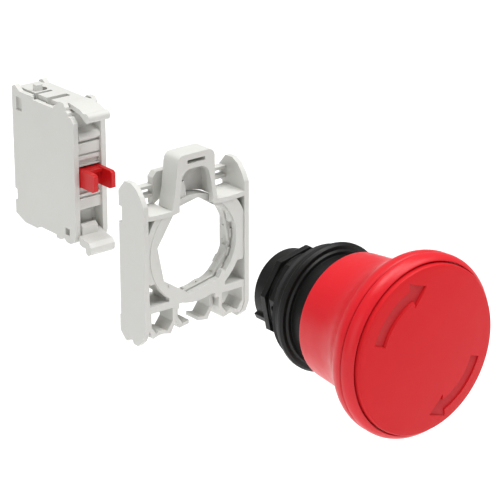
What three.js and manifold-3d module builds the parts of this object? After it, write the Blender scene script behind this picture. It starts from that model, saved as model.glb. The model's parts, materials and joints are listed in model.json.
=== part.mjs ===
// A 22 mm panel emergency stop button: a turn-to-release mushroom actuator, the clip-on mounting
// adapter that locks it behind the panel, and one normally closed contact block.
// The three modules are drawn apart on the button's axis, as they are before fitting.
// Millimetres. The panel's front face is the plane y = 0, the button's axis is the Y axis,
// the user stands on the -Y side, +X is to the user's right and +Z is up.
import * as THREE from "three";
import { mergeVertices } from "three/addons/utils/BufferGeometryUtils.js";
import Module from "manifold-3d";

const wasm = await Module();
wasm.setup();

// ---------------------------------------------------------------- driving dimensions
const GAP = 0.3; // clearance between two pieces that touch or slide
const FINE = 64; // facets round a large turned piece
const MEDIUM = 40;
const SMALL = 20;

// Actuator
const TRAVEL = 4.5; // push stroke of the head
const HEAD_R = 20; // mushroom, 40 mm across
const RIM_Y = -30.2; // where the rear shell meets the front cap
const FACE_Y = -35.4; // crown of the slightly domed face disc
const FACE_R = 18.4;
const DOME_R = 122; // radius of the dome
const SEAT_Y = -32.1; // front of the cap's web, under the disc
const WEB_T = 1.6;
const NECK_R = 14.1;
const NECK_Y = -10.6; // rear edge of the skirt
const FLANGE_R = 14.4;
const FLANGE_FRONT_Y = -5.6;
const FLANGE_REAR_Y = -3.6;
const SEAL_SEAT_R = 13.1; // step behind the flange that carries the panel gasket
const GASKET_T = 1.3;
const SLEEVE_R = 12.0; // guide sleeve in front of the flange
const SLEEVE_FRONT_Y = -24;
const BARREL_CORE_R = 9.5;
const BARREL_R = 10.8; // passes a 22.3 mm panel hole
const LUG_CORNER_DEG = 79; // one corner of the eight-cornered locking collars
const COLLAR_A = [0.9, 3.4];
const COLLAR_B = [4.9, 6.4];
const BORE_R = 7.9;
const PUSHER_R = 7.5;
const PUSHER_REAR_Y = 6.8;
const SPIGOT_R = 8.9; // thin rear end of the barrel, round the pusher
const SPIGOT_REAR_Y = 10.8;
const SHAFT_R = 4.6;
const LATCH_Y = 2.2; // two pins through the barrel wall follow the pusher's ramp
const LATCH_PIN_R = 0.8;
const LATCH_DROP = 1.1;

// Mounting adapter, in its own frame: y = 0 is its front face
const ADAPTER_Y = 41.6; // how far behind the panel plane it stands before fitting
const ADAPTER_HALF_W = 15;
const ADAPTER_DEPTH = 9.3;
const ADAPTER_BOTTOM = -21.4;
const EAR_TOP = 17.3;
const TOWER_TOP = 22.6;
const WALL = 1.3;
const LAND_Y = [0.5, 1.6]; // front land with the eight-cornered hole
const RING_SEAT_R = 12.4;
const RING_OUTER_R = 12.1;
const RING_BORE_R = 11.1;
const RING_Y = [1.9, 5.2];
const RING_LIP = [2.3, 3.1]; // sits between the barrel's two collars when fitted
const RING_TURN_DEG = 20;
const SHELF_Z = -11.4; // floor above the hook pockets

// Contact block, in its own frame: y = 0 is its front face, x = 0 its middle
const BLOCK_X = 9.4;
const BLOCK_Y = 96.2;
const BLOCK_HALF_W = 4.8;
const PLATE_T = 1.4;
const BLOCK_DEPTH = 26.4;
const BLOCK_TOP = 17.0;
const BLOCK_BOTTOM = -17.5;
const FORK_REACH = 6;
const FORK_HALF_H = 2.3;
const LATCH_PIVOT = [4.8, BLOCK_TOP + 0.4];

// ---------------------------------------------------------------- solids from three.js shapes
// A closed three.js geometry as a manifold-3d solid.
function solid(geometry) {
  const bare = geometry.index ? geometry.toNonIndexed() : geometry.clone();
  bare.deleteAttribute("normal");
  bare.deleteAttribute("uv");
  const merged = mergeVertices(bare, 1e-4);
  return new wasm.Manifold(
    new wasm.Mesh({
      numProp: 3,
      vertProperties: merged.attributes.position.array,
      triVerts: new Uint32Array(merged.index.array),
    }),
  );
}

// A manifold-3d solid as a three.js geometry.
function geometryOf(body) {
  const mesh = body.getMesh();
  const geometry = new THREE.BufferGeometry();
  geometry.setAttribute("position", new THREE.BufferAttribute(mesh.vertProperties, 3));
  geometry.setIndex(new THREE.BufferAttribute(mesh.triVerts, 1));
  geometry.computeVertexNormals();
  return geometry;
}

const join = (...bodies) => bodies.reduce((whole, body) => whole.add(body));
const cut = (body, ...tools) => tools.reduce((rest, tool) => rest.subtract(tool), body);

// A block between two corners.
function box([x0, x1], [y0, y1], [z0, z1]) {
  const geometry = new THREE.BoxGeometry(x1 - x0, y1 - y0, z1 - z0);
  return solid(geometry.translate((x0 + x1) / 2, (y0 + y1) / 2, (z0 + z1) / 2));
}

// A solid turned about the Y axis from closed [radius, y] points, listed anticlockwise in (r, y).
function turned(points, segments = FINE) {
  const profile = points.map(([r, y]) => new THREE.Vector2(r, y));
  profile.push(profile[0].clone());
  const body = solid(new THREE.LatheGeometry(profile, segments));
  if (body.volume() > 0) return body;
  return solid(new THREE.LatheGeometry(profile.reverse(), segments));
}

// A disc, or a ring where inner is given, along Y at (x, z).
function roundY(r, [y0, y1], { x = 0, z = 0, inner = 0, segments = MEDIUM } = {}) {
  const outline = [
    [inner, y0],
    [r, y0],
    [r, y1],
    [inner, y1],
  ];
  return turned(outline, segments).translate([x, 0, z]);
}

// A cylinder along X or Z.
function rod(r, axis, [from, to], at, segments = SMALL) {
  const geometry = new THREE.CylinderGeometry(r, r, to - from, segments);
  if (axis === "x") geometry.rotateZ(-Math.PI / 2).translate((from + to) / 2, at[0], at[1]);
  if (axis === "z") geometry.rotateX(Math.PI / 2).translate(at[0], at[1], (from + to) / 2);
  return solid(geometry);
}

function shapeOf(points) {
  return new THREE.Shape(points.map(([a, b]) => new THREE.Vector2(a, b)));
}

// An outline of [x, z] points carried along Y.
function slabY(points, [y0, y1]) {
  const geometry = new THREE.ExtrudeGeometry(shapeOf(points), {
    depth: y1 - y0,
    bevelEnabled: false,
  });
  return solid(geometry.rotateX(Math.PI / 2).translate(0, y1, 0));
}

// An outline of [y, z] points carried along X.
function slabX(points, [x0, x1]) {
  const geometry = new THREE.ExtrudeGeometry(shapeOf(points), {
    depth: x1 - x0,
    bevelEnabled: false,
  });
  return solid(geometry.rotateX(Math.PI / 2).rotateZ(Math.PI / 2).translate(x0, 0, 0));
}

// Points of an arc, in degrees.
function arc(cx, cy, r, from, to, steps) {
  return Array.from({ length: steps + 1 }, (_, i) => {
    const t = THREE.MathUtils.degToRad(from + ((to - from) * i) / steps);
    return [cx + r * Math.cos(t), cy + r * Math.sin(t)];
  });
}

const polar = (r, degrees) => arc(0, 0, r, degrees, degrees, 1)[0];

// A regular outline with eight corners on radius r, one of them at corner degrees.
function octagon(r, corner) {
  return arc(0, 0, r, corner, corner + 315, 7);
}

// A coil spring along Y about (x, z), with a step every 1/12 turn.
function coil(radius, wire, turns, [y0, y1], { x = 0, z = 0 } = {}) {
  const steps = Math.round(turns * 12);
  const points = Array.from({ length: steps + 1 }, (_, i) => {
    const t = (i / steps) * turns * 2 * Math.PI;
    const y = y0 + wire + ((y1 - y0 - 2 * wire) * i) / steps;
    return new THREE.Vector3(x + radius * Math.cos(t), y, z + radius * Math.sin(t));
  });
  const section = shapeOf(arc(0, 0, wire, 0, 300, 5));
  return solid(
    new THREE.ExtrudeGeometry(section, {
      steps,
      extrudePath: new THREE.CatmullRomCurve3(points),
      bevelEnabled: false,
    }),
  );
}

// ---------------------------------------------------------------- materials
const finish = (color, roughness, metalness = 0) =>
  new THREE.MeshStandardMaterial({ color, roughness, metalness });
const RED = finish(0xd42630, 0.45);
const BLACK = finish(0x1c1c1b, 0.5);
const RUBBER = finish(0x141414, 0.85);
const GREY = finish(0xd6d7d3, 0.55);
const STEEL = finish(0xb8bcc0, 0.3, 1);
const BRASS = finish(0xb99a55, 0.35, 1);
const PLUNGER_RED = finish(0xe01a20, 0.4);

function part(name, body, material) {
  const mesh = new THREE.Mesh(geometryOf(body), material);
  mesh.name = name;
  return mesh;
}

// ---------------------------------------------------------------- actuator head
// The clockwise arrow sunk in the face disc, centred on degrees about the axis.
function arrow(degrees) {
  const inner = 12.8;
  const outer = 15.4;
  const [tail, neck, tip] = [degrees + 33, degrees - 18, degrees - 34];
  const middle = (inner + outer) / 2;
  const outline = [
    ...arc(0, 0, outer, tail, neck, 8),
    polar(outer + 1.6, neck - 1),
    polar(middle + 0.5, tip),
    polar(inner - 1.2, neck + 1),
    ...arc(0, 0, inner, neck, tail, 8),
  ];
  return slabY(outline, [FACE_Y - 1, FACE_Y + 1.3]);
}

function faceDisc() {
  const back = SEAT_Y - GAP;
  const dome = [0, 4, 8, 12, 15, FACE_R - 0.4].map((r) => [r, FACE_Y + r ** 2 / (2 * DOME_R)]);
  const disc = turned([...dome, [FACE_R, FACE_Y + 1.8], [FACE_R, back], [0, back]]);
  return cut(disc, arrow(128), arrow(308));
}

// The front shell: the rounded half of the rim, the seat of the face disc and a hub for the stem.
function headCap() {
  const back = SEAT_Y + WEB_T;
  const round = arc(HEAD_R - 2.6, RIM_Y - 0.6, 2.6, 0, -60, 6);
  const shell = turned([
    [1.7, SEAT_Y],
    [FACE_R + GAP, SEAT_Y],
    ...round.reverse(),
    [HEAD_R, RIM_Y],
    [HEAD_R - 1.6, RIM_Y],
    [HEAD_R - 1.6, back],
    [SHAFT_R + 2.4, back],
    [SHAFT_R + 2.4, back + 4.4],
    [SHAFT_R + GAP, back + 4.4],
    [SHAFT_R + GAP, back],
    [1.7, back],
  ]);
  return cut(shell, roundY(2.8, [SEAT_Y - 1, SEAT_Y + 1.1], { segments: SMALL }));
}

// The rear shell: a slightly conical neck that flares out to the rim.
function headSkirt() {
  const joint = RIM_Y + 0.25;
  const throat = NECK_R + 0.9;
  const outside = [
    [HEAD_R - 0.1, joint],
    [HEAD_R - 0.1, joint + 1.2],
    [HEAD_R - 0.5, joint + 2.5],
    [HEAD_R - 1.6, joint + 4.1],
    [HEAD_R - 3.0, joint + 6.0],
    [HEAD_R - 4.2, joint + 8.2],
    [throat, joint + 11.2],
    [NECK_R + 0.4, NECK_Y - 4],
    [NECK_R, NECK_Y],
  ];
  const inside = [
    [NECK_R - 1.5, NECK_Y],
    [NECK_R - 1.5, joint + 7.8],
    [HEAD_R - 4.6, joint + 3.6],
    [HEAD_R - 2.4, joint + 1.2],
    [HEAD_R - 2.4, joint],
  ];
  return turned([...outside, ...inside]);
}

// The stem turns and travels with the head; the pusher runs loose on its rear journal.
function stem() {
  const front = SEAT_Y + WEB_T + GAP;
  const body = turned(
    [
      [0, front],
      [SHAFT_R, front],
      [SHAFT_R, 1.0 - GAP],
      [2.6, 1.0 - GAP],
      [2.6, 4.3],
      [1.6, 4.3],
      [1.6, 5.1],
      [2.6, 5.1],
      [2.6, 6.4],
      [0, 6.4],
    ],
    SMALL,
  );
  return cut(body, roundY(1.7, [front - 1, front + 6], { segments: SMALL }));
}

// Holds the cap on the stem, under the face disc.
function headScrew() {
  const head = roundY(2.5, [SEAT_Y + 0.1, SEAT_Y + 1.0], { segments: SMALL });
  const shank = roundY(1.4, [SEAT_Y + 0.8, SEAT_Y + 7], { segments: SMALL });
  return cut(join(head, shank), box([-1.8, 1.8], [SEAT_Y, SEAT_Y + 0.5], [-0.3, 0.3]));
}

// ---------------------------------------------------------------- actuator body
// Flange, guide sleeve and barrel in one moulding, bored for the pusher and the stem.
function bezelBody() {
  const rear = -GASKET_T - GAP;
  const flange = turned([
    [BARREL_CORE_R - 1, FLANGE_FRONT_Y],
    [SEAL_SEAT_R - 0.3, FLANGE_FRONT_Y],
    [SEAL_SEAT_R, FLANGE_FRONT_Y + 0.5],
    [FLANGE_R - 0.5, FLANGE_FRONT_Y + 0.5],
    [FLANGE_R, FLANGE_FRONT_Y + 1.0],
    [FLANGE_R, FLANGE_REAR_Y - 0.3],
    [FLANGE_R - 0.3, FLANGE_REAR_Y],
    [SEAL_SEAT_R, FLANGE_REAR_Y],
    [SEAL_SEAT_R, rear],
    [BARREL_CORE_R - 1, rear],
  ]);
  const sleeve = roundY(SLEEVE_R, [SLEEVE_FRONT_Y, FLANGE_FRONT_Y + 0.5], { segments: FINE });
  const core = roundY(BARREL_CORE_R, [FLANGE_FRONT_Y, COLLAR_B[1]], { segments: FINE });
  const spigot = turned([
    [BORE_R - 1, COLLAR_B[1] - 1],
    [SPIGOT_R, COLLAR_B[1] - 1],
    [SPIGOT_R, SPIGOT_REAR_Y - 0.4],
    [SPIGOT_R - 0.4, SPIGOT_REAR_Y],
    [BORE_R - 1, SPIGOT_REAR_Y],
  ]);
  const pointer = box([-0.7, 0.7], [COLLAR_B[1] - 1, SPIGOT_REAR_Y - 0.2], [8.2, 9.6]);
  const collars = [COLLAR_A, COLLAR_B].map((span) =>
    slabY(octagon(BARREL_R, LUG_CORNER_DEG), span),
  );
  const key = box([-1.4, 1.4], [0.2, COLLAR_A[0] + 0.2], [BARREL_CORE_R - 1, BARREL_R - 0.1]);
  const tab = pointer.rotate([0, -118, 0]);
  const outside = join(flange, sleeve, core, spigot, tab, ...collars, key);
  const pusherBore = roundY(BORE_R, [-0.8, 20]);
  const springWell = roundY(9.2, [-30, -9]);
  const stemBore = roundY(SHAFT_R + GAP, [-30, 20], { segments: SMALL });
  const latchHoles = rod(LATCH_PIN_R + GAP / 2, "x", [-20, 20], [LATCH_Y, 0], 16);
  return cut(outside, pusherBore, springWell, stemBore, latchHoles);
}

function panelGasket() {
  const bore = BARREL_R + GAP;
  return turned([
    [bore, -GASKET_T],
    [SEAL_SEAT_R - 0.3, -GASKET_T],
    [SEAL_SEAT_R, -GASKET_T / 2],
    [SEAL_SEAT_R - 0.6, 0],
    [bore, 0],
  ]);
}

// The lip seal between the guide sleeve and the skirt keeps water out of the head.
function lipSeal() {
  return turned([
    [SLEEVE_R + 0.15, -21.6],
    [NECK_R - 1.55, -21.0],
    [NECK_R - 1.55, -20.4],
    [SLEEVE_R + 0.15, -19.4],
  ]);
}

// The pusher slides in the barrel without turning and presses the contact block's plunger.
// Its front half is the ramp that the latch pins follow.
function pusher() {
  const rampTop = LATCH_Y + LATCH_PIN_R;
  const rampFoot = PUSHER_R - (LATCH_DROP / TRAVEL) * (rampTop - 1.0);
  const cup = turned([
    [3.4, 1.0],
    [rampFoot, 1.0],
    [PUSHER_R, rampTop],
    [PUSHER_R, PUSHER_REAR_Y - 0.4],
    [PUSHER_R - 0.4, PUSHER_REAR_Y],
    [3.4, PUSHER_REAR_Y],
  ]);
  const web = roundY(3.7, [1.0, 3.8], { segments: SMALL });
  const stemHole = roundY(2.6 + GAP, [0, 6], { segments: SMALL });
  const keyway = box([-0.9, 0.9], [5.2, 20], [-9, -6.4]);
  return cut(join(cup, web), stemHole, keyway);
}

function retainingClip() {
  const ring = roundY(3.1, [4.45, 4.95], { inner: 1.85, segments: SMALL });
  return cut(ring, box([-0.7, 0.7], [4, 5.4], [-5, 0]));
}

// A pin in the barrel wall whose tip follows the pusher's ramp.
function latchPin(side) {
  const span = [PUSHER_R + GAP, PUSHER_R + GAP + 1.9];
  const pin = rod(LATCH_PIN_R, "x", span, [LATCH_Y, 0], 14);
  return side > 0 ? pin : pin.mirror([1, 0, 0]);
}

// ---------------------------------------------------------------- mounting adapter
// A side wall: ear at the top with a curved front, a notch in the back edge, chamfered foot.
function adapterWall() {
  const [d, top, bottom] = [ADAPTER_DEPTH, EAR_TOP, ADAPTER_BOTTOM];
  return [
    [0, bottom + 4.4],
    [1.2, bottom + 1.6],
    [3.0, bottom],
    [4.6, bottom + 0.1],
    [5.0, bottom + 0.9],
    [6.4, bottom + 0.9],
    [6.8, bottom + 0.1],
    [7.6, bottom + 0.1],
    [d + 0.3, bottom + 2.0],
    [d + 0.3, bottom + 5.8],
    [d, bottom + 6.2],
    [d, 7.2],
    [d - 1.1, 7.2],
    [d - 1.1, 10.9],
    [d, 10.9],
    [d, top - 2.7],
    [d - 2.3, top - 0.1],
    [4.5, top],
    [2.6, top - 1.0],
    [1.1, top - 2.8],
    [0.2, top - 4.4],
    [0, top - 5.0],
  ];
}

// The wavy top wall between the side walls, carried up by offset.
function topWave(offset) {
  const height = (x) => 8.9 + 1.5 * Math.exp(-((x / 4.6) ** 2)) + 0.5 * (x / ADAPTER_HALF_W) ** 4;
  const steps = 20;
  const reach = ADAPTER_HALF_W - 0.5;
  return Array.from({ length: steps + 1 }, (_, i) => {
    const x = -reach + (2 * reach * i) / steps;
    return [x, height(x) + offset];
  });
}

// A hook pocket: a cup open at the front and back.
function hookPocket(x, half, span) {
  const [top, foot] = [SHELF_Z - 0.6, ADAPTER_BOTTOM + 3.0];
  const cup = (grow, drop) => [
    [x - half - grow, top],
    [x - half - grow, foot + 2.0],
    [x - half + 1.3 - grow, foot - drop],
    [x - 0.9, foot + 0.5 - drop],
    [x + 0.4, foot + 0.5 - drop],
    [x + half - 1.5 + grow, foot - drop],
    [x + half + grow, foot + 2.0],
    [x + half + grow, top],
  ];
  const inside = cup(0, 0);
  inside[0] = [x - half, top - 1.1];
  inside[7] = [x + half, top - 1.1];
  return cut(slabY(cup(0.9, 0.9), span), slabY(inside, [span[0] - 1, span[1] + 1]));
}

// The lower part: shelf, webs beside the two slim slits, and three hook pockets.
function adapterBase() {
  const inner = ADAPTER_HALF_W - WALL + 0.4;
  const shelf = box([-inner, inner], [0.2, 7.6], [SHELF_Z - 1.2, SHELF_Z]);
  const apron = slabY(
    [
      [-8.0, SHELF_Z - 1.2],
      [8.0, SHELF_Z - 1.2],
      [8.0, -7.6],
      [-8.0, -7.6],
    ],
    [0.2, 6.6],
  );
  const slits = [-1, 1].map((side) =>
    slabY(
      [
        [side * 7.1, -10.1],
        [side * 7.1, -11.0],
        [side * 2.4, -12.1],
      ],
      [-1, 8],
    ),
  );
  const brace = box([-6.4, -5.2], [0.2, 5], [SHELF_Z - 2.4, SHELF_Z - 0.6]);
  const notch = box([-1.4, 1.2], [0, 8], [ADAPTER_BOTTOM, ADAPTER_BOTTOM + 4.2]);
  return join(
    cut(apron, ...slits),
    shelf,
    brace,
    brace.mirror([1, 0, 0]),
    hookPocket(-10.1, 3.0, [0.2, 5.2]),
    hookPocket(10.1, 3.0, [0.2, 5.2]),
    cut(hookPocket(0, 4.6, [1.6, 6.2]), notch),
  );
}

// The hollow tower over the hole, with a screwdriver slot near its top.
function adapterTower() {
  const outline = [
    [-7.0, 10.2],
    [-6.1, 14.2],
    [-5.4, TOWER_TOP - 2.0],
    ...arc(-3.6, TOWER_TOP - 1.7, 1.7, 180, 90, 4),
    ...arc(3.4, TOWER_TOP - 1.7, 1.7, 90, 0, 4),
    [5.2, 14.2],
    [5.9, 10.2],
  ];
  const slot = box([-2.6, 2.4], [-1, 4.4], [20.3, 21.2]);
  const rear = slabY(
    [
      [-7.4, 9.6],
      [5.8, 9.6],
      [5.8, 17.6],
      [-6.4, 17.6],
      [-7.4, 16.4],
    ],
    [6.6, 8.6],
  );
  return join(cut(slabY(outline, [0, 5.2]), slot), rear, box([-4.2, 4.2], [4.6, 7], [15.6, 17.0]));
}

// The arched window in the tower, where the locking ring's tab swings.
function towerWindow() {
  const arch = [
    [-4.9, 11.4],
    [-4.3, 15.8],
    ...arc(-1.6, 16.4, 2.7, 175, 90, 5),
    ...arc(1.0, 16.4, 2.7, 90, 5, 5),
    [3.9, 15.8],
    [4.6, 11.4],
    [4.6, 9],
    [-4.9, 9],
  ];
  return slabY(arch, [-1, 4.2]);
}

function adapterFrame() {
  const [w, inner] = [ADAPTER_HALF_W, ADAPTER_HALF_W - WALL];
  const left = slabX(adapterWall(), [-w, -inner]);
  const right = slabX(adapterWall(), [inner, w]);
  const top = slabY([...topWave(0), ...topWave(1.1).reverse()], [0, 7.6]);
  const drum = roundY(w - 0.3, [0.3, 6.6], { inner: RING_SEAT_R - 1, segments: FINE });
  const lower = box([-20, 20], [-1, 20], [-20, -6.2]);
  const slimDrum = roundY(RING_SEAT_R + 0.8, [0.2, 6.6], { inner: RING_SEAT_R - 1, segments: FINE });
  const open = slabY([[0, 0], polar(20, 280), polar(24, 330), polar(20, 380)], [-1, 3]);
  const land = cut(roundY(RING_SEAT_R + 1, LAND_Y, { segments: FINE }), open);
  const mouth = box([-w, w], [-1, 12], [9.2, 20]);
  const rails = [14.0, 11.9].flatMap((z) => [
    box([-w + 0.3, -6.8], [6.8, 8.8], [z, z + 0.7]),
    box([5.4, w - 0.3], [6.8, 8.8], [z, z + 0.7]),
  ]);
  const round = cut(join(cut(drum, lower), slimDrum, land), mouth);
  const shell = join(round, top, adapterTower(), left, right, adapterBase(), ...rails);
  const seat = roundY(RING_SEAT_R, [LAND_Y[1], 12], { segments: FINE });
  const hole = slabY(octagon(RING_BORE_R, LUG_CORNER_DEG), [-1, 9]);
  const tabWay = box([-4.9, 4.6], [RING_Y[0] - 0.3, 4.2], [9, 17.5]);
  const snaps = [20, 160, 215, 325].map((deg) =>
    box([RING_SEAT_R - 0.5, RING_SEAT_R + 0.6], [RING_Y[1] + GAP, 6.5], [-1, 1]).rotate([0, -deg, 0]),
  );
  const forkWay = box([-13.2, 13.2], [5.3, 14], [-FORK_HALF_H - 0.5, FORK_HALF_H + 0.5]);
  return join(cut(shell, seat, hole, towerWindow(), tabWay, forkWay), ...snaps);
}

// The bayonet ring: its eight-cornered lip passes the barrel's collars, then turns between them.
function lockingRing() {
  const [front, back] = RING_Y;
  const ring = roundY(RING_OUTER_R, [front, back], { inner: RING_BORE_R, segments: FINE });
  const lip = cut(
    roundY(RING_OUTER_R - 0.5, RING_LIP, { segments: FINE }),
    slabY(octagon(RING_BORE_R, LUG_CORNER_DEG), [front, back]),
  );
  const notches = [236, 259, 281, 304, 327, 349, 12].map((deg) =>
    box([11, 11.7], [front - 1, back + 1], [-1.1, 1.1]).rotate([0, -deg, 0]),
  );
  const tab = box([-0.8, 0.8], [RING_Y[0] + 0.3, 3.9], [11.4, 15.8]);
  return join(cut(ring, ...notches), lip, tab.rotate([0, -RING_TURN_DEG / 2, 0]));
}

// ---------------------------------------------------------------- contact block
// The side outline of the block's plates as [y, z].
function blockOutline() {
  const [d, top, bottom] = [BLOCK_DEPTH, BLOCK_TOP, BLOCK_BOTTOM];
  return [
    [0, bottom + 2.6],
    [0, top - 2.8],
    [1.2, top - 1.4],
    [2.2, top - 1.4],
    [2.2, top - 0.6],
    [3.6, top],
    [8.4, top],
    [8.4, top - 0.8],
    [17.4, top - 0.8],
    [17.4, top],
    [d - 3.2, top],
    [d - 1.4, top + 1.3],
    [d, top + 0.6],
    [d, -9.2],
    [d - 0.9, -9.5],
    [d - 0.9, -12.1],
    [d, -12.4],
    [d, bottom + 1.6],
    [d - 4.2, bottom],
    [6.6, bottom],
    [5.4, bottom + 0.9],
    [4.2, bottom],
    [2.4, bottom],
    [0.8, bottom + 0.8],
  ];
}

// The housing: a flat cover plate on the left, and on the right the other plate with the body
// that fills the space between them.
function blockShell(side) {
  const [top, bottom, d] = [BLOCK_TOP, BLOCK_BOTTOM, BLOCK_DEPTH];
  const half = (low, high) => (side < 0 ? [-high, -low] : [low, high]);
  const plate = slabX(blockOutline(), half(BLOCK_HALF_W - PLATE_T, BLOCK_HALF_W));
  const rim = [PLATE_T + GAP - BLOCK_HALF_W, BLOCK_HALF_W - 0.2];
  const masses = [
    box(rim, [3.4, d - 0.2], [-12.4, top - 1.0]),
    box(rim, [7.2, d - 0.4], [top - 4, top + 0.4]),
    box(rim, [4.4, d - 4.4], [bottom + 0.3, -11]),
    box(rim, [0.6, 5], [-8.4, -2.4]),
    box(rim, [0.6, 5], [2.4, 8.6]),
  ];
  const ridge = slabX(
    [
      [5, 8.0],
      [5, 12.0],
      [2.4, 11.6],
      ...arc(1.4, 10.2, 1.2, 90, 250, 6),
      [2.0, 8.0],
    ],
    rim,
  );
  const hump = box([-2.3, 0.4], [19.0, 20.6], [top, top + 2.0]);
  const hollow = [
    box([-3.4, 3.4], [4.6, d - 1.4], [-12.0, 12.0]),
    box([-2.6, 2.6], [16.8, 23.4], [-15.0, 15.0]),
  ];
  const grooves = [
    box([-3.1, 3.3], [-1, 1.1], [5.4, 5.9]),
    box([-3.0, 3.2], [-1, 1.3], [3.0, 4.4]),
    box([-3.1, 3.3], [-1, 1.1], [-5.6, -5.1]),
    box([-3.0, 3.2], [-1, 1.3], [-4.4, -3.0]),
  ];
  const forkWay = box([-3.4, 3.4], [-1, 5], [-FORK_HALF_H - 0.4, FORK_HALF_H + 0.4]);
  const topSlots = [
    box([-3.6, 2.6], [11.4, 13.3], [top - 3, top + 3]),
    box([-4.2, 1.4], [17.2, 18.3], [top - 2.4, top + 3]),
  ];
  const wireEntries = [9.6, -9.6].map((z) => box([-2.3, 2.3], [d - 3, d + 1], [z - 2, z + 2]));
  const driver = [-1, 1].map((s) => rod(1.7, "z", s > 0 ? [14, 24] : [-24, -14], [0, 20.6], 16));
  const slit = box([-9, 9], [8.6, 17.0], [bottom - 1, bottom + 0.8]);
  const clip = box([-9, 9], [2.8, 4.6], [bottom + 2.0, bottom + 3.8]);
  const notch = box([-9, -BLOCK_HALF_W + 0.7], [d - 4.2, d - 1.8], [top - 5.1, top - 1.6]);
  const ear = leverEar(half(3.5, BLOCK_HALF_W));
  const trim = join(cut(plate, slit, clip, notch), ear);
  const body = side < 0 ? trim : join(trim, ridge, hump, ...masses);
  const pivotHole = rod(0.9, "x", [-4.3, 4.3], LATCH_PIVOT, 14);
  return cut(body, pivotHole, ...hollow, ...grooves, forkWay, ...topSlots, ...wireEntries, ...driver);
}

// One of the two ears that carry the latch lever.
function leverEar(span) {
  const [y, z] = LATCH_PIVOT;
  const ear = [
    [y - 1.6, BLOCK_TOP - 2.4],
    [y + 2.8, BLOCK_TOP - 2.4],
    [y + 2.8, BLOCK_TOP + 0.2],
    [y + 1.0, z + 1.2],
    [y - 0.8, z + 1.2],
    [y - 1.6, z + 0.2],
  ];
  return slabX(ear, span);
}

// The foot under the block: an arm with a rolled lip that hooks into the adapter's base.
function mountingFoot() {
  const base = BLOCK_BOTTOM + 0.6;
  const root = [
    [-1.6, base - 0.4],
    [3.6, base + 1.0],
    [3.6, base + 3.4],
    [0.6, base + 2.8],
    [-1.6, base + 1.8],
  ];
  const bar = [
    [-GAP, base],
    [-GAP, base + 2.2],
    [-1.6, base + 1.8],
    [-4.2, base + 1.4],
    [-5.2, base + 0.4],
    [-5.2, base - 1.0],
    ...arc(-3.9, base - 1.0, 1.0, 200, 340, 5),
    [-2.8, base - 0.3],
    [-1.6, base - 0.4],
  ];
  const ridge = [
    [-0.6, base + 2.0],
    [1.6, base + 2.6],
    [1.6, base + 4.6],
    [0.4, base + 4.9],
    [-0.6, base + 4.2],
  ];
  return join(slabX(root, [-3.1, 3.1]), slabX(bar, [-4.1, 3.2]), slabX(ridge, [-3.1, 1.4]));
}

// The sprung latch on top of the block: a lever whose rolled nose snaps over the adapter's rail.
function latchLever() {
  const [y, z] = LATCH_PIVOT;
  const lever = [
    [y + 1.0, z - 0.2],
    [y + 1.0, z + 0.8],
    [y - 1.4, z + 1.0],
    [-0.6, z + 0.4],
    [-2.0, z - 0.3],
    ...arc(-3.2, z - 1.3, 1.2, 60, 270, 8),
    [-1.9, z - 1.9],
    [-0.6, z - 0.9],
    [y - 1.4, z - 0.2],
  ];
  return join(slabX(lever, [-3.2, 3.2]), rod(0.6, "x", [-4.1, 4.1], [y, z], 14));
}

// The red fork that the pusher presses, with its tail inside the block.
function plungerFork() {
  const [front, h] = [-FORK_REACH, FORK_HALF_H];
  const arm = slabX(
    [
      [front, -h + 0.4],
      [front + 0.8, -h],
      [1.2, -h],
      [1.2, h],
      [front + 0.8, h],
      [front, h - 0.4],
    ],
    [2.0, 3.2],
  );
  const web = box([-3.1, 3.1], [-0.9, 1.2], [-h + 0.1, h - 0.1]);
  const ledge = box([-2.2, 2.2], [-2.0, -0.4], [h - 1.0, h - 0.2]);
  const tail = box([-1.3, 1.3], [1.0, 8.8], [-1.2, 1.2]);
  return join(arm, arm.mirror([1, 0, 0]), web, ledge, tail);
}

// The moving contact bridge, a strip with a button at each end.
function contactBridge() {
  const strip = box([-2.0, 2.0], [9.1, 9.9], [-5.8, 5.8]);
  const buttons = [-4.6, 4.6].map((z) => roundY(1.1, [8.3, 9.4], { z, segments: 12 }));
  const eye = box([-0.7, 0.7], [8, 11], [-0.7, 0.7]);
  return cut(join(strip, ...buttons), eye);
}

// A fixed contact: the tip in front of the bridge and the strip that runs back to the clamp.
function fixedContact(side) {
  const strip = box([-2.0, 2.0], [6.4, 7.3], [3.4, 8.0]);
  const tip = roundY(1.1, [7.0, 8.0], { z: 4.6, segments: 12 });
  const riser = box([-2.0, 2.0], [6.4, 23.6], [7.2, 8.0]);
  const body = join(strip, tip, riser);
  return side > 0 ? body : body.mirror([0, 0, 1]);
}

function clampPlate(side) {
  const plate = cut(
    box([-2.3, 2.3], [18.0, 23.2], [8.4, 11.2]),
    box([-1.6, 1.6], [17, 24], [9.0, 10.1]),
    rod(1.3, "z", [8, 12], [0, 20.6], 14),
  );
  return side > 0 ? plate : plate.mirror([0, 0, 1]);
}

// A terminal screw with a cross recess, its head towards the outside of the block.
function terminalScrew(side) {
  const body = join(
    rod(1.0, "z", [8.4, 12.6], [0, 20.6], 14),
    rod(1.9, "z", [11.6, 13.4], [0, 20.6], 18),
  );
  const recess = [
    box([-1.3, 1.3], [20.3, 20.9], [12.6, 14]),
    box([-0.3, 0.3], [19.3, 21.9], [12.6, 14]),
  ];
  const screw = cut(body, ...recess);
  return side > 0 ? screw : screw.mirror([0, 0, 1]);
}

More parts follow.
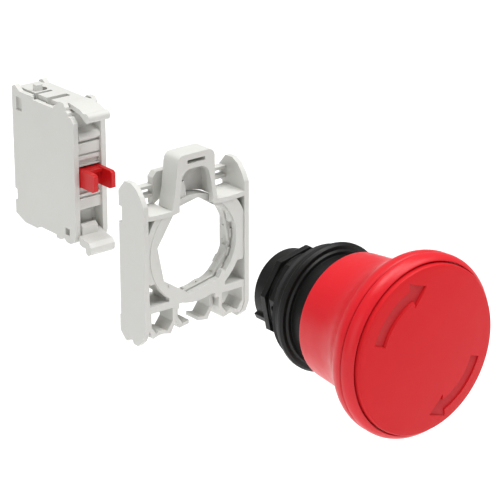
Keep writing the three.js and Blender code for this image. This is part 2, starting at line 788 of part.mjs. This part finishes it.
// ---------------------------------------------------------------- assembly
function actuator() {
  const group = new THREE.Group();
  group.add(
    part("face_disc", faceDisc(), RED),
    part("head_cap", headCap(), RED),
    part("head_skirt", headSkirt(), RED),
    part("stem", stem(), BLACK),
    part("head_screw", headScrew(), STEEL),
    part("bezel_body", bezelBody(), BLACK),
    part("panel_gasket", panelGasket(), RUBBER),
    part("lip_seal", lipSeal(), RUBBER),
    part("pusher", pusher(), BLACK),
    part("retaining_clip", retainingClip(), STEEL),
    part("latch_pin_left", latchPin(-1), STEEL),
    part("latch_pin_right", latchPin(1), STEEL),
    part("return_spring", coil(7.6, 0.5, 5, [-25.5, -9.4]), STEEL),
  );
  return group;
}

function mountingAdapter() {
  const group = new THREE.Group();
  group.position.y = ADAPTER_Y;
  group.add(
    part("adapter_frame", adapterFrame(), GREY),
    part("locking_ring", lockingRing(), GREY),
  );
  return group;
}

function contactBlock() {
  const group = new THREE.Group();
  group.position.set(BLOCK_X, BLOCK_Y, 0);
  group.add(
    part("block_shell_left", blockShell(-1), GREY),
    part("block_shell_right", blockShell(1), GREY),
    part("mounting_foot", mountingFoot(), GREY),
    part("latch_lever", latchLever(), GREY),
    part("plunger_fork", plungerFork(), PLUNGER_RED),
    part("contact_bridge", contactBridge(), BRASS),
    part("plunger_spring", coil(1.7, 0.25, 7, [10.2, 24.8]), STEEL),
  );
  for (const [name, side] of [
    ["upper", 1],
    ["lower", -1],
  ]) {
    group.add(
      part(`fixed_contact_${name}`, fixedContact(side), BRASS),
      part(`clamp_plate_${name}`, clampPlate(side), STEEL),
      part(`terminal_screw_${name}`, terminalScrew(side), STEEL),
    );
  }
  return group;
}

const emergencyStop = new THREE.Group();
emergencyStop.add(actuator(), mountingAdapter(), contactBlock());

export default emergencyStop;
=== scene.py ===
"""The looks of the emergency stop button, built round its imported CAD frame."""
import json
import math

import bmesh
import bpy
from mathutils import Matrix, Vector


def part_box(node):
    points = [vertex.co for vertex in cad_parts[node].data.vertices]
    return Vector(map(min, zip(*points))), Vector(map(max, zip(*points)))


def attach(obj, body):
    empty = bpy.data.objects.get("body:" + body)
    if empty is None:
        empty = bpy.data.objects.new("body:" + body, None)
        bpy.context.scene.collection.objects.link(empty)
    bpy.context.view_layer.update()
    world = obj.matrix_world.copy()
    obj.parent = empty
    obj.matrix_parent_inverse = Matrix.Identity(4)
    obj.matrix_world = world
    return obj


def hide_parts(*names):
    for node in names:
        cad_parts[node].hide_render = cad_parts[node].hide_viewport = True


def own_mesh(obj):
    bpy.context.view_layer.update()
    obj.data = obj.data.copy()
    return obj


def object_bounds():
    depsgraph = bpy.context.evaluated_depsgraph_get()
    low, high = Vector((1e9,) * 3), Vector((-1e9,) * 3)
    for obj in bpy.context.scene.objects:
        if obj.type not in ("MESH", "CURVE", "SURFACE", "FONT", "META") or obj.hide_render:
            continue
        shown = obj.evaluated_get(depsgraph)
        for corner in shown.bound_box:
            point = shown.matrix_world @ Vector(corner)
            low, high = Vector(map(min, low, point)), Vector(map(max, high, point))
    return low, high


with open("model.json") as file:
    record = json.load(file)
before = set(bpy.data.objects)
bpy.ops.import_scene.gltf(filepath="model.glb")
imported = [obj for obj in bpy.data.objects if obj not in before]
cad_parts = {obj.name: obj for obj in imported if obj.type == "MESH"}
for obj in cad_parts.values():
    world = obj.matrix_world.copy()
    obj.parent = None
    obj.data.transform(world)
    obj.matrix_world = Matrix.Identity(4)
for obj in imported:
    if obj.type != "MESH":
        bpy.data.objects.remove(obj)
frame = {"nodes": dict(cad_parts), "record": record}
cad_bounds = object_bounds()
LOW, HIGH = (Vector(corner) for corner in cad_bounds)
CENTRE = (LOW + HIGH) / 2
MM = 0.001

# ---------------------------------------------------------------- camera
AZIMUTH = math.radians(39.13)
ELEVATION = math.radians(21.17)
DISTANCE = 0.542
LENS = 172.3
SENSOR = 36
AIM_OFFSET = Vector((0.0096, -0.0090, -0.0016))


def add_camera():
    aim = CENTRE + AIM_OFFSET
    forward = Vector(
        (
            math.sin(AZIMUTH) * math.cos(ELEVATION),
            math.cos(AZIMUTH) * math.cos(ELEVATION),
            -math.sin(ELEVATION),
        )
    )
    data = bpy.data.cameras.new("camera")
    data.lens = LENS
    data.sensor_width = SENSOR
    camera = bpy.data.objects.new("camera", data)
    camera.location = aim - forward * DISTANCE
    camera.rotation_euler = forward.to_track_quat("-Z", "Y").to_euler()
    bpy.context.scene.collection.objects.link(camera)
    bpy.context.scene.camera = camera


# ---------------------------------------------------------------- materials
NOISE_RANGE = (0.3, 0.7)  # the part of a noise texture's output that is stretched over a ramp
GRAIN_HEIGHT = 0.0001  # metres


def new_material(name):
    material = bpy.data.materials.new(name)
    material.use_nodes = True
    tree = material.node_tree
    return material, tree, tree.nodes["Principled BSDF"]


def noise(tree, scale, detail=4, roughness=0.5, stretch=None):
    place = tree.nodes.new("ShaderNodeTexCoord")
    source = place.outputs["Object"]
    if stretch:
        mapping = tree.nodes.new("ShaderNodeMapping")
        mapping.inputs["Scale"].default_value = stretch
        tree.links.new(source, mapping.inputs["Vector"])
        source = mapping.outputs["Vector"]
    node = tree.nodes.new("ShaderNodeTexNoise")
    node.inputs["Scale"].default_value = scale
    node.inputs["Detail"].default_value = detail
    node.inputs["Roughness"].default_value = roughness
    tree.links.new(source, node.inputs["Vector"])
    return node.outputs["Fac"]


def ramp(tree, source, low, high):
    node = tree.nodes.new("ShaderNodeMapRange")
    node.inputs["From Min"].default_value = NOISE_RANGE[0]
    node.inputs["From Max"].default_value = NOISE_RANGE[1]
    node.inputs["To Min"].default_value = low
    node.inputs["To Max"].default_value = high
    tree.links.new(source, node.inputs["Value"])
    return node.outputs["Result"]


def tint(tree, source, dark, light):
    node = tree.nodes.new("ShaderNodeMix")
    node.data_type = "RGBA"
    node.inputs[6].default_value = (*dark, 1)
    node.inputs[7].default_value = (*light, 1)
    tree.links.new(source, node.inputs[0])
    return node.outputs[2]


def bump(tree, shader, source, strength):
    node = tree.nodes.new("ShaderNodeBump")
    node.inputs["Strength"].default_value = strength
    node.inputs["Distance"].default_value = GRAIN_HEIGHT
    tree.links.new(source, node.inputs["Height"])
    tree.links.new(node.outputs["Normal"], shader.inputs["Normal"])


def moulded(name, colour, roughness, grain, depth, spread, shine=0.5, scatter=0.0):
    """Injection-moulded plastic: flow tints, a fine grain and slightly uneven gloss."""
    material, tree, shader = new_material(name)
    flow = noise(tree, 90, detail=3)
    dark = [c * (1 - spread) for c in colour]
    light = [min(1, c * (1 + spread * 0.6)) for c in colour]
    tree.links.new(tint(tree, flow, dark, light), shader.inputs["Base Color"])
    uneven = noise(tree, 420, detail=5)
    gloss = ramp(tree, uneven, roughness - 0.05, roughness + 0.05)
    tree.links.new(gloss, shader.inputs["Roughness"])
    bump(tree, shader, noise(tree, grain, detail=2, roughness=0.6), depth)
    shader.inputs["IOR"].default_value = 1.5
    shader.inputs["Specular IOR Level"].default_value = shine
    shader.inputs["Subsurface Weight"].default_value = scatter
    shader.inputs["Subsurface Radius"].default_value = (0.0012, 0.0009, 0.0007)
    return material


def metal(name, colour, roughness, stretch):
    """Rolled or turned metal with fine drawn scratches along one way."""
    material, tree, shader = new_material(name)
    shader.inputs["Metallic"].default_value = 1
    scratches = noise(tree, 700, detail=6, stretch=stretch)
    dark = [c * 0.82 for c in colour]
    tree.links.new(tint(tree, scratches, dark, colour), shader.inputs["Base Color"])
    tree.links.new(ramp(tree, scratches, roughness, roughness + 0.15), shader.inputs["Roughness"])
    bump(tree, shader, scratches, 0.12)
    return material


HEAD_RED = moulded(
    "head_red", (0.64, 0.010, 0.018), 0.34, grain=3200, depth=0.02, spread=0.05, shine=0.3
)
FACE_RED = moulded(
    "face_red", (0.60, 0.012, 0.017), 0.44, grain=3600, depth=0.03, spread=0.04, shine=0.16
)
# arrow recess floors: the face red darkened as painted shade in the recess, with a rougher,
# coarser grain of their own
ARROW_SHADED_RED = moulded(
    "arrow_painted_shade_red", (0.50, 0.022, 0.027), 0.6, grain=2000, depth=0.2, spread=0.1, shine=0.2
)
BLACK = moulded(
    "black_plastic",
    (0.007, 0.007, 0.0065),
    0.38,
    grain=2400,
    depth=0.05,
    spread=0.2,
    shine=0.26,
)
RUBBER = moulded("seal_rubber", (0.010, 0.010, 0.010), 0.75, grain=1800, depth=0.12, spread=0.2)
GREY = moulded(
    "grey_plastic", (0.60, 0.60, 0.57), 0.46, grain=2800, depth=0.04, spread=0.03, scatter=0.08
)
FORK_RED = moulded(
    "plunger_red", (0.55, 0.008, 0.010), 0.34, grain=2400, depth=0.03, spread=0.08, shine=0.3
)
BRASS = metal("contact_brass", (0.72, 0.50, 0.20), 0.24, (1, 1, 14))
STEEL = metal("steel", (0.60, 0.61, 0.62), 0.24, (1, 14, 1))

# node: (material, record slot, bevel in mm, smoothing angle in degrees)
LOOKS = {
    "stem": (BLACK, "black_plastic", 0.1, 35),
    "head_screw": (STEEL, "steel", 0.08, 35),
    "bezel_body": (BLACK, "black_plastic", 0.16, 24),
    "panel_gasket": (RUBBER, "seal_rubber", 0.0, 35),
    "lip_seal": (RUBBER, "seal_rubber", 0.0, 35),
    "pusher": (BLACK, "black_plastic", 0.12, 28),
    "retaining_clip": (STEEL, "steel", 0.05, 30),
    "latch_pin_left": (STEEL, "steel", 0.08, 35),
    "latch_pin_right": (STEEL, "steel", 0.08, 35),
    "return_spring": (STEEL, "steel", 0.0, 80),
    "adapter_frame": (GREY, "grey_plastic", 0.16, 24),
    "locking_ring": (GREY, "grey_plastic", 0.1, 24),
    "block_shell_left": (GREY, "grey_plastic", 0.14, 24),
    "block_shell_right": (GREY, "grey_plastic", 0.14, 24),
    "mounting_foot": (GREY, "grey_plastic", 0.16, 32),
    "latch_lever": (GREY, "grey_plastic", 0.16, 32),
    "plunger_fork": (FORK_RED, "plunger_red", 0.16, 24),
    "contact_bridge": (BRASS, "contact_brass", 0.08, 30),
    "plunger_spring": (STEEL, "steel", 0.0, 80),
    "fixed_contact_upper": (BRASS, "contact_brass", 0.08, 30),
    "fixed_contact_lower": (BRASS, "contact_brass", 0.08, 30),
    "clamp_plate_upper": (STEEL, "steel", 0.08, 30),
    "clamp_plate_lower": (STEEL, "steel", 0.08, 30),
    "terminal_screw_upper": (STEEL, "steel", 0.06, 30),
    "terminal_screw_lower": (STEEL, "steel", 0.06, 30),
}


# ---------------------------------------------------------------- pieces
WELD = 1e-6  # metres between vertices that are one
FLAT = math.radians(0.6)  # faces nearer than this in angle are merged
BEVEL_SHARP = 60  # degrees kept sharp on a bevelled piece
TURN_SHARP = 32  # degrees kept sharp on a turned piece
DISC_SHARP = 20  # degrees kept sharp on the face disc
TURN_STEPS = 160
SPLINE_STEPS = 6

# the mushroom, in mm
DOME = 122  # radius of the crowned face
WEB = 1.6  # thickness of the cap's floor
WALL = 1.6  # thickness of the cap's rim at the joint with the skirt
LIP = 0.22  # chamfer on each side of that joint
RIM = 2.6  # rounding of the cap's front edge
SCREW_HOLE = 1.8
BOSS = (5.0, 7.0)  # inner and outer radius
FACE_HOLE = 0.5  # the disc's profile starts this far from the axis and is capped
ARROW_BAND = (12.8, 15.4)  # inner and outer radius of an arrow's shaft
ARROW_MIDDLE = 14.2
ARROW_DEPTH = 0.5
ARROW_TURNS = (128, 308)  # degrees


def body_of(node):
    bodies = frame["record"]["behaviour"]["bodies"]
    return next(body for body, nodes in bodies.items() if node in nodes)


def place(name, mesh, material, slot, node):
    mesh.materials.clear()
    mesh.materials.append(material)
    piece = bpy.data.objects.new(name, mesh)
    bpy.context.scene.collection.objects.link(piece)
    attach(piece, body_of(node))
    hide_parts(node)
    return piece


def soften(node, material, slot, width, angle):
    """The node's own shape with its flat faces merged and its edges rounded as moulded or cut."""
    mesh = frame["nodes"][node].data.copy()
    work = bmesh.new()
    work.from_mesh(mesh)
    bmesh.ops.remove_doubles(work, verts=work.verts, dist=WELD)
    bmesh.ops.dissolve_limit(work, angle_limit=FLAT, verts=work.verts, edges=work.edges)
    work.to_mesh(mesh)
    work.free()
    for polygon in mesh.polygons:
        polygon.use_smooth = True
    piece = place(f"{node}_look", mesh, material, slot, node)
    if width:
        rounding = piece.modifiers.new("rounding", "BEVEL")
        rounding.width = width * MM
        rounding.segments = 2
        rounding.limit_method = "ANGLE"
        rounding.angle_limit = math.radians(angle)
        rounding.use_clamp_overlap = True
        shading = piece.modifiers.new("shading", "WEIGHTED_NORMAL")
        shading.keep_sharp = True
        mesh.set_sharp_from_angle(angle=math.radians(BEVEL_SHARP))
    else:
        mesh.set_sharp_from_angle(angle=math.radians(angle))
    return piece


def spline(points):
    """Catmull-Rom points through an open list of (radius, y)."""
    ends = [points[0], *points, points[-1]]
    out = []
    for a, b, c, d in zip(ends, ends[1:], ends[2:], ends[3:]):
        for i in range(SPLINE_STEPS):
            t = i / SPLINE_STEPS
            out.append(
                tuple(
                    0.5
                    * (
                        2 * q
                        + (r - p) * t
                        + (2 * p - 5 * q + 4 * r - s) * t * t
                        + (3 * q - p - 3 * r + s) * t**3
                    )
                    for p, q, r, s in zip(a, b, c, d)
                )
            )
    out.append(points[-1])
    return out


def revolve(name, profile, material, slot, node, cap=False):
    """A closed (radius, y) profile in mm turned about the Y axis; cap closes it over the axis."""
    mesh = bpy.data.meshes.new(name)
    work = bmesh.new()
    rings = []
    for step in range(TURN_STEPS):
        angle = 2 * math.pi * step / TURN_STEPS
        rings.append(
            [
                work.verts.new((r * MM * math.cos(angle), y * MM, r * MM * math.sin(angle)))
                for r, y in profile
            ]
        )
    for here, there in zip(rings, rings[1:] + rings[:1]):
        for i in range(len(profile) - int(cap)):
            k = (i + 1) % len(profile)
            work.faces.new((here[i], here[k], there[k], there[i]))
    if cap:
        work.faces.new([ring[0] for ring in rings])
        work.faces.new([ring[-1] for ring in rings])
    bmesh.ops.recalc_face_normals(work, faces=work.faces)
    for face in work.faces:
        face.smooth = True
    work.to_mesh(mesh)
    work.free()
    mesh.set_sharp_from_angle(angle=math.radians(TURN_SHARP))
    return place(name, mesh, material, slot, node)


def arc(radius, centre, start, end, steps):
    """Points of an arc about (radius, y) centre, in mm and degrees."""
    turns = [math.radians(start + (end - start) * i / steps) for i in range(steps + 1)]
    return [(centre[0] + radius * math.cos(t), centre[1] + radius * math.sin(t)) for t in turns]


def head_cap():
    low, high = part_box("head_cap")
    radius, front, rear = high.x / MM, low.y / MM, high.y / MM
    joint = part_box("head_skirt")[0].y / MM - 0.25
    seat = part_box("face_disc")[1].y / MM + 0.3
    web = seat + WEB
    profile = [
        (SCREW_HOLE, seat),
        (18.62, seat),
        (18.66, front + 0.35),
        (18.78, front + 0.08),
        *arc(RIM, (radius - RIM, joint - 0.6), -56, 0, 12),
        (radius, joint - LIP),
        (radius - LIP, joint),
        (radius - WALL, joint),
        (radius - WALL, web),
        (BOSS[1], web),
        (BOSS[1], rear),
        (BOSS[0], rear),
        (BOSS[0], web),
        (SCREW_HOLE, web),
    ]
    revolve("head_cap_shell", profile, HEAD_RED, "head_red", "head_cap")


def head_skirt():
    low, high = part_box("head_skirt")
    radius, front, rear = high.x / MM, low.y / MM, high.y / MM
    neck = radius - 5.8
    flare = spline(
        [
            (radius, front + LIP),
            (radius, front + 1.2),
            (radius - 0.4, front + 2.5),
            (radius - 1.5, front + 4.1),
            (radius - 2.9, front + 6.0),
            (radius - 4.1, front + 8.2),
            (neck + 0.9, front + 11.2),
            (neck + 0.42, rear - 4),
            (neck + 0.08, rear - 0.5),
            (neck - 0.1, rear),
        ]
    )
    inside = [
        (neck - 1.2, rear),
        (neck - 1.4, rear - 0.4),
        (neck - 1.4, front + 7.8),
        (radius - 4.5, front + 3.6),
        (radius - 2.3, front + 1.2),
        (radius - 2.3, front),
        (radius - LIP, front),
    ]
    revolve("head_skirt_shell", [*flare, *inside], HEAD_RED, "head_red", "head_skirt")


def polar(radius, degrees):
    return radius * math.cos(math.radians(degrees)), radius * math.sin(math.radians(degrees))


def arrow_outline(degrees, grow):
    """The turn arrow of the face in (x, z) mm, its edge moved out by grow."""
    inner, outer = ARROW_BAND[0] - grow, ARROW_BAND[1] + grow
    tail, neck, tip = degrees + 33 + grow * 4, degrees - 18, degrees - 34 - grow * 8
    middle = (inner + outer) / 2
    return [
        *arc(outer, (0, 0), tail, neck, 20),
        polar(outer + 1.6, neck - 1 + grow * 4),
        polar(middle + 0.5, tip),
        polar(inner - 1.2, neck + 1 + grow * 4),
        *arc(inner, (0, 0), neck, tail, 20),
    ]


def arrow_cutter(degrees, surface, floor):
    """A closed prism, widest in front of the face, with a chamfer and a slight draft below it."""
    levels = [
        (surface - 1.2, 0.14),
        (surface - 0.02, 0.14),
        (surface + 0.16, 0.0),
        (floor, -0.05),
    ]
    mesh = bpy.data.meshes.new("arrow_cutter")
    work = bmesh.new()
    loops = [
        [work.verts.new((x * MM, y * MM, z * MM)) for x, z in arrow_outline(degrees, grow)]
        for y, grow in levels
    ]
    for here, there in zip(loops, loops[1:]):
        for i, vertex in enumerate(here):
            k = (i + 1) % len(here)
            work.faces.new((vertex, here[k], there[k], there[i]))
    work.faces.new(loops[0])
    work.faces.new(loops[-1])
    bmesh.ops.recalc_face_normals(work, faces=work.faces)
    work.to_mesh(mesh)
    work.free()
    cutter = bpy.data.objects.new("arrow_cutter", mesh)
    bpy.context.scene.collection.objects.link(cutter)
    return cutter


def face_disc():
    low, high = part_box("face_disc")
    radius, crown, back = high.x / MM, low.y / MM, high.y / MM
    radii = [FACE_HOLE + 1.1 * i for i in range(16)] + [radius - 0.45]
    front = [(r, crown + r * r / (2 * DOME)) for r in radii]
    edge = front[-1][1]
    profile = [
        *front,
        (radius - 0.18, edge + 0.1),
        (radius, edge + 0.34),
        (radius, back),
        (FACE_HOLE, back),
    ]
    disc = revolve("face_disc_plate", profile, FACE_RED, "head_red", "face_disc", cap=True)
    surface = crown + ARROW_MIDDLE**2 / (2 * DOME)
    floor = surface + ARROW_DEPTH
    cutters = [arrow_cutter(degrees, surface, floor) for degrees in ARROW_TURNS]
    for cutter in cutters:
        carve = disc.modifiers.new("carve", "BOOLEAN")
        carve.object = cutter
        carve.operation = "DIFFERENCE"
        carve.solver = "EXACT"
    bpy.context.view_layer.update()
    graph = bpy.context.evaluated_depsgraph_get()
    mesh = bpy.data.meshes.new_from_object(disc.evaluated_get(graph))
    disc.modifiers.clear()
    disc.data = mesh
    mesh.materials.clear()
    mesh.materials.append(FACE_RED)
    mesh.materials.append(ARROW_SHADED_RED)
    for polygon in mesh.polygons:
        polygon.use_smooth = True
        # the recess floors get the darker red, which is painted shade
        deep = abs(polygon.center.y / MM - floor) < 0.02 and polygon.normal.y < -0.9
        polygon.material_index = int(deep)
    mesh.set_sharp_from_angle(angle=math.radians(DISC_SHARP))
    for cutter in cutters:
        bpy.data.objects.remove(cutter)


def squash_spring(node):
    """Gives the coil's look its own copy of its mesh; the coil is not shortened."""
    spring = bpy.data.objects[f"{node}_look"]
    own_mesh(spring)


# ---------------------------------------------------------------- stage and light
FLOOR_SIZE = 6
FLOOR_DROP = 0.05
WORLD_STRENGTH = 0.38

# name, size in metres, power in watts, place from the part's middle
LAMPS = (
    ("key", 0.7, 8, (0.45, -0.55, 1.0)),
    ("top", 0.8, 12, (0.0, 0.1, 1.2)),
    ("left_fill", 0.8, 2.4, (-1.1, -0.3, 0.35)),
)


def add_floor():
    bpy.ops.mesh.primitive_grid_add(
        x_subdivisions=2,
        y_subdivisions=2,
        size=FLOOR_SIZE,
        location=(CENTRE.x, CENTRE.y, LOW.z - FLOOR_DROP),
    )
    floor = bpy.context.object
    floor.name = "floor"
    material, tree, shader = new_material("floor_paper")
    mottle = noise(tree, 3, detail=2)
    paper = tint(tree, mottle, (0.95, 0.95, 0.95), (0.97, 0.97, 0.97))
    tree.links.new(paper, shader.inputs["Base Color"])
    shader.inputs["Roughness"].default_value = 0.95
    shader.inputs["Specular IOR Level"].default_value = 0.1
    floor.data.materials.append(material)


def area_light(name, size, power, offset):
    data = bpy.data.lights.new(name, "AREA")
    data.shape = "SQUARE"
    data.size = size
    data.energy = power
    light = bpy.data.objects.new(name, data)
    light.location = CENTRE + Vector(offset)
    light.rotation_euler = (CENTRE - light.location).to_track_quat("-Z", "Y").to_euler()
    bpy.context.scene.collection.objects.link(light)


def add_light():
    for lamp in LAMPS:
        area_light(*lamp)
    world = bpy.data.worlds.new("studio")
    world.use_nodes = True
    background = world.node_tree.nodes["Background"]
    background.inputs["Color"].default_value = (1, 1, 1, 1)
    background.inputs["Strength"].default_value = WORLD_STRENGTH
    bpy.context.scene.world = world


add_camera()
add_light()
add_floor()
for node, look in LOOKS.items():
    soften(node, *look)
face_disc()
head_cap()
head_skirt()
squash_spring("return_spring")
squash_spring("plunger_spring")

bpy.context.scene.view_settings.view_transform = "Standard"
bpy.context.view_layer.update()
